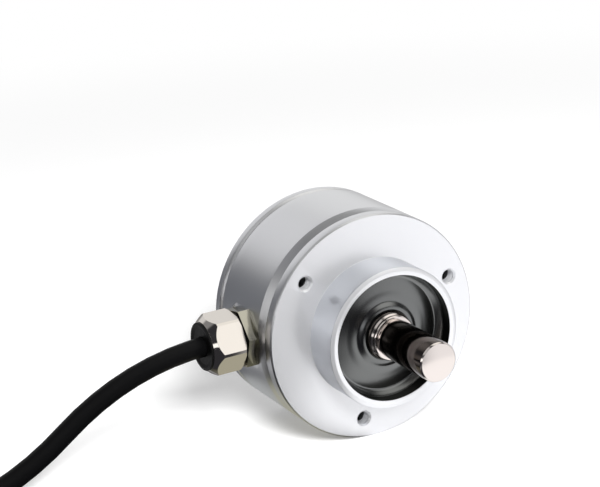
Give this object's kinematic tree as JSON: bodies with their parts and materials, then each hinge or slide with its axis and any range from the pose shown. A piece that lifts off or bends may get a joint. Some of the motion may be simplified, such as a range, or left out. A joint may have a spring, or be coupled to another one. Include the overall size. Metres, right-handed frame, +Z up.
{
  "type": "absolute rotary encoder",
  "caption": "Absolute rotary encoder with a round clamping flange, centring collar, solid shaft and a cable from a hexagonal gland on its side.",
  "frame": {"origin": "centre of the flange's front face, where the centring collar stands on it", "axes": "the shaft points along -Y, +Z is up, and the cable leaves along -X"},
  "size_m": [0.2065, 0.0788, 0.058],
  "materials": {
    "turned_aluminium": "satin turned",
    "zinc_steel": "zinc plated",
    "brass_nickel": "nickel plated",
    "ground_steel": "ground and polished",
    "seal_plastic": "glossy, dark grey",
    "bearing_steel": "ground",
    "bearing_cage": "natural polyamide",
    "disc_glass": "clear with chrome tracks",
    "clear_glass": "polished",
    "black_plastic": "moulded",
    "lamp_epoxy": "tinted epoxy",
    "chip_plastic": "moulded",
    "tantalum_plastic": "moulded",
    "terminal_plastic": "moulded",
    "board_laminate": "green solder mask",
    "lead_insulation": "several colours",
    "nickel_plate": "nickel plated brass",
    "bush_rubber": "black",
    "cable_jacket": "smooth black jacket",
    "tie_plastic": "black"
  },
  "bodies": {
    "housing": {"front_flange": "turned_aluminium", "housing_body": "turned_aluminium", "rear_cover": "turned_aluminium", "tie_screws": "zinc_steel", "board_spacers": "brass_nickel", "shaft_seal": "seal_plastic", "bearing_outer_ring": "bearing_steel", "light_holder": "black_plastic", "light_lamp": "lamp_epoxy", "light_lens": "clear_glass", "scanning_mask": "disc_glass", "photo_sensor": "chip_plastic", "circuit_board": "board_laminate", "processor": "chip_plastic", "memory": "chip_plastic", "line_driver": "chip_plastic", "regulator": "chip_plastic", "capacitors": "tantalum_plastic", "wire_terminal": "terminal_plastic", "inner_leads": "lead_insulation", "gland_body": "nickel_plate", "gland_nut": "nickel_plate", "gland_bush": "bush_rubber", "cable_entry": "cable_jacket", "cable": "cable_jacket", "cable_coil": "cable_jacket", "cable_tail": "cable_jacket", "coil_tie": "tie_plastic", "lead_wires": "lead_insulation"},
    "rotor": {"shaft": "ground_steel", "bearing_inner_ring": "bearing_steel", "code_disc": "disc_glass"},
    "cage": {"ball_cage": "bearing_cage"}
  },
  "joints": [
    {"name": "shaft_spin", "type": "hinge", "parent": "housing", "child": "rotor", "pos_m": [0, 0, 0], "axis": [0, -1, 0], "continuous": true},
    {"name": "cage_spin", "type": "hinge", "parent": "housing", "child": "cage", "pos_m": [0, 0.0058, 0], "axis": [0, -1, 0], "continuous": true}
  ],
  "couplings": [
    {"joint": "cage_spin", "follows": "shaft_spin", "ratio": 0.4296}
  ]
}
